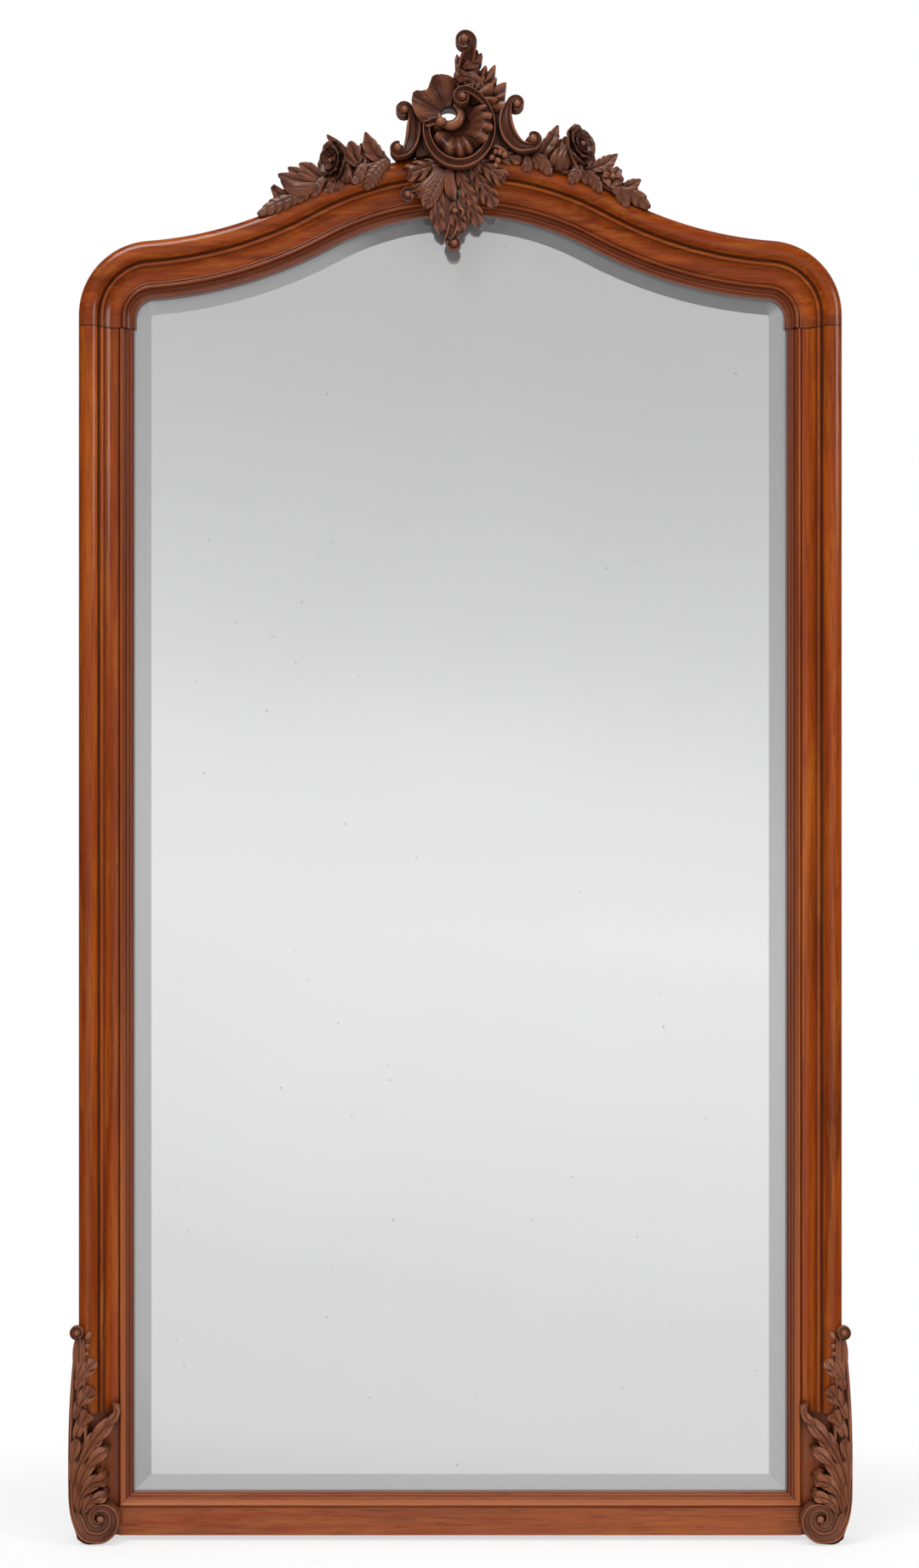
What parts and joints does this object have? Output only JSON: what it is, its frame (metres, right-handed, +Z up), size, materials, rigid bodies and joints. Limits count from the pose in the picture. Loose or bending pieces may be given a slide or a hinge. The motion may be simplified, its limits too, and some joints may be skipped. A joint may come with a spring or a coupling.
{
  "type": "wall mirror",
  "caption": "Tall arched wall mirror in a moulded hardwood frame with a bevelled plate, a pierced carved crest with leaves and roses, and carved scroll feet.",
  "frame": {"origin": "centre of the bounding box on the plane that the two carved feet stand on", "axes": "+Z up, front of the mirror towards -Y, back towards the wall at +Y, +X to the viewer's right"},
  "size_m": [1.139, 0.098, 2.189],
  "materials": {
    "frame_walnut": "french polished reddish walnut with dark grooves",
    "carved_walnut": "waxed carved walnut, darker in the hollows",
    "softwood": "bare aged softwood",
    "iron": "dull dark iron",
    "mirror_plate": "silvered plate glass with a polished bevel"
  },
  "bodies": {
    "root": {"stile_left": "frame_walnut", "stile_right": "frame_walnut", "arch_left": "frame_walnut", "arch_right": "frame_walnut", "bottom_rail": "frame_walnut", "sight_moulding_left": "frame_walnut", "sight_moulding_right": "frame_walnut", "sight_moulding_bottom": "frame_walnut", "head_tenons": "softwood", "crown_tenon": "softwood", "rail_pegs": "softwood", "mirror_plate": "mirror_plate", "glazing_blocks": "softwood", "backboard_1": "softwood", "backboard_2": "softwood", "backboard_3": "softwood", "backboard_4": "softwood", "backboard_5": "softwood", "backboard_6": "softwood", "backboard_7": "softwood", "backboard_8": "softwood", "backboard_screws": "iron", "hanger_plate_left": "iron", "hanger_plate_right": "iron", "hanger_screws": "iron", "crest_cartouche": "carved_walnut", "crest_leafage": "carved_walnut", "crest_finial": "carved_walnut", "finial_dowel": "softwood", "crest_cleat": "softwood", "crest_screws": "iron", "leafage_screws": "iron", "garland_left": "carved_walnut", "garland_right": "carved_walnut", "garland_pins": "iron", "rose_left": "carved_walnut", "rose_right": "carved_walnut", "rose_dowels": "softwood", "carved_foot_left": "carved_walnut", "carved_foot_right": "carved_walnut", "foot_dowels": "softwood"}
  },
  "joints": []
}
